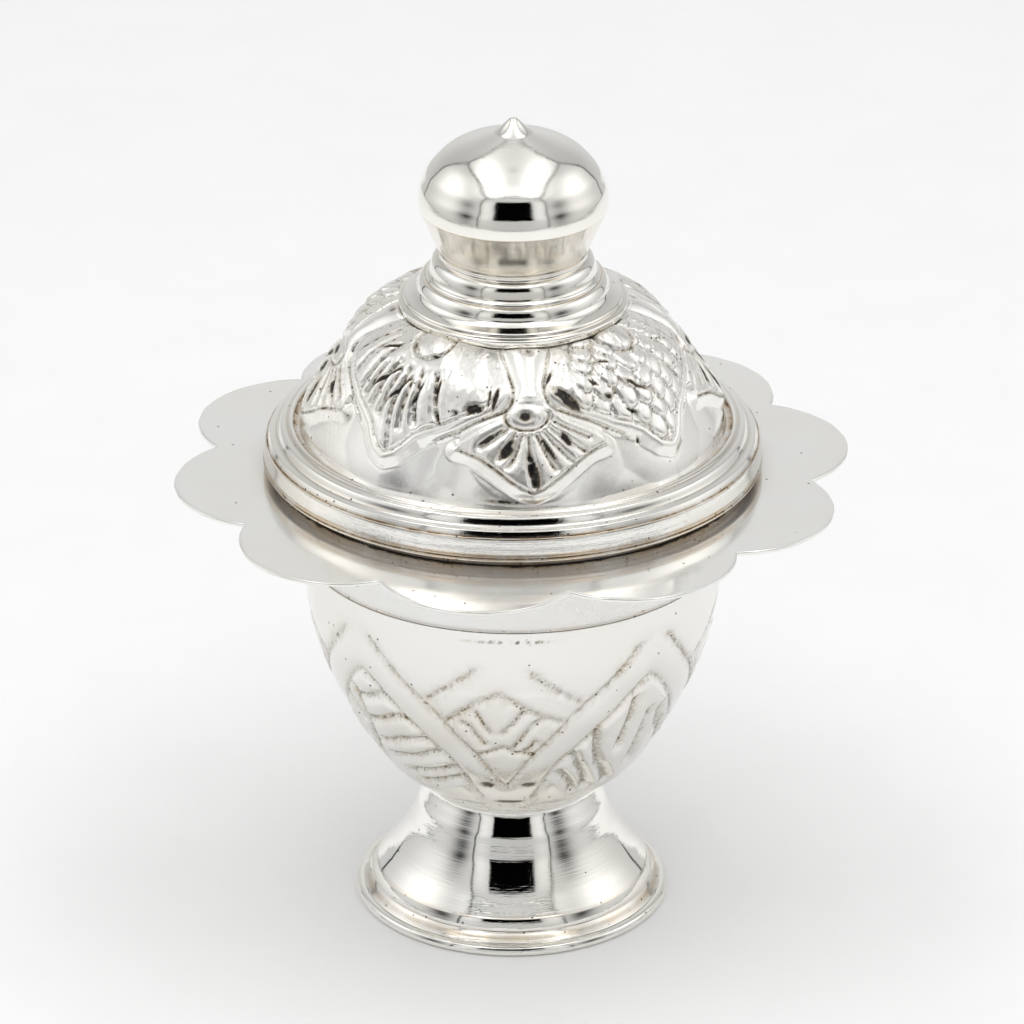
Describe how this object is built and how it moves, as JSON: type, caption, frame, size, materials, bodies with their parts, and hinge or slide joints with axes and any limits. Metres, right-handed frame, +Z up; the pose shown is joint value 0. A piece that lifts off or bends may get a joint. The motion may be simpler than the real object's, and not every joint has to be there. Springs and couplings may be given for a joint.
{
  "type": "kumkum box",
  "caption": "Footed silver-plated powder box with a chased bowl, a lobed flange plate and a lift-off domed lid with raised petals and an onion-shaped knob.",
  "frame": {"origin": "on the turning axis, at the plane that the foot stands on", "axes": "+Z up along the turning axis to the knob's tip; the front of the box in the picture faces -Y"},
  "size_m": [0.0708, 0.0712, 0.089],
  "materials": {
    "polished_silver": "silver-plated brass, mirror polished, faint turning lines",
    "satin_silver": "silver-plated brass sheet, soft satin with fine scratches and a few tarnish specks",
    "chased_silver": "silver-plated brass, satin ground with stippled chased lines that show warm tarnish",
    "embossed_silver": "silver-plated brass, bright raised petals with warm tarnish in the creases",
    "inner_silver": "silver-plated brass, dull spun surface inside the lid",
    "brass_fixings": "turned brass, lightly oxidised"
  },
  "bodies": {
    "base": {"foot_rim_bead": "polished_silver", "foot_shell": "polished_silver", "foot_washer": "brass_fixings", "foot_screw": "brass_fixings", "foot_nut": "brass_fixings", "bowl_shell": "chased_silver", "bowl_neck_band": "satin_silver", "flower_plate": "satin_silver"},
    "lid": {"lid_locating_ring": "inner_silver", "lid_rim_moulding": "polished_silver", "lid_dome": "embossed_silver", "knob_cove_ring": "polished_silver", "knob_bead_ring": "polished_silver", "knob_lower_cup": "polished_silver", "knob_cap": "polished_silver", "knob_tip": "polished_silver", "knob_washer": "brass_fixings", "knob_screw": "brass_fixings", "knob_nut": "brass_fixings"}
  },
  "joints": [
    {"name": "lid_lift", "type": "slide", "parent": "base", "child": "lid", "axis": [0, 0, 1], "range_m": [0, 0.05]}
  ]
}
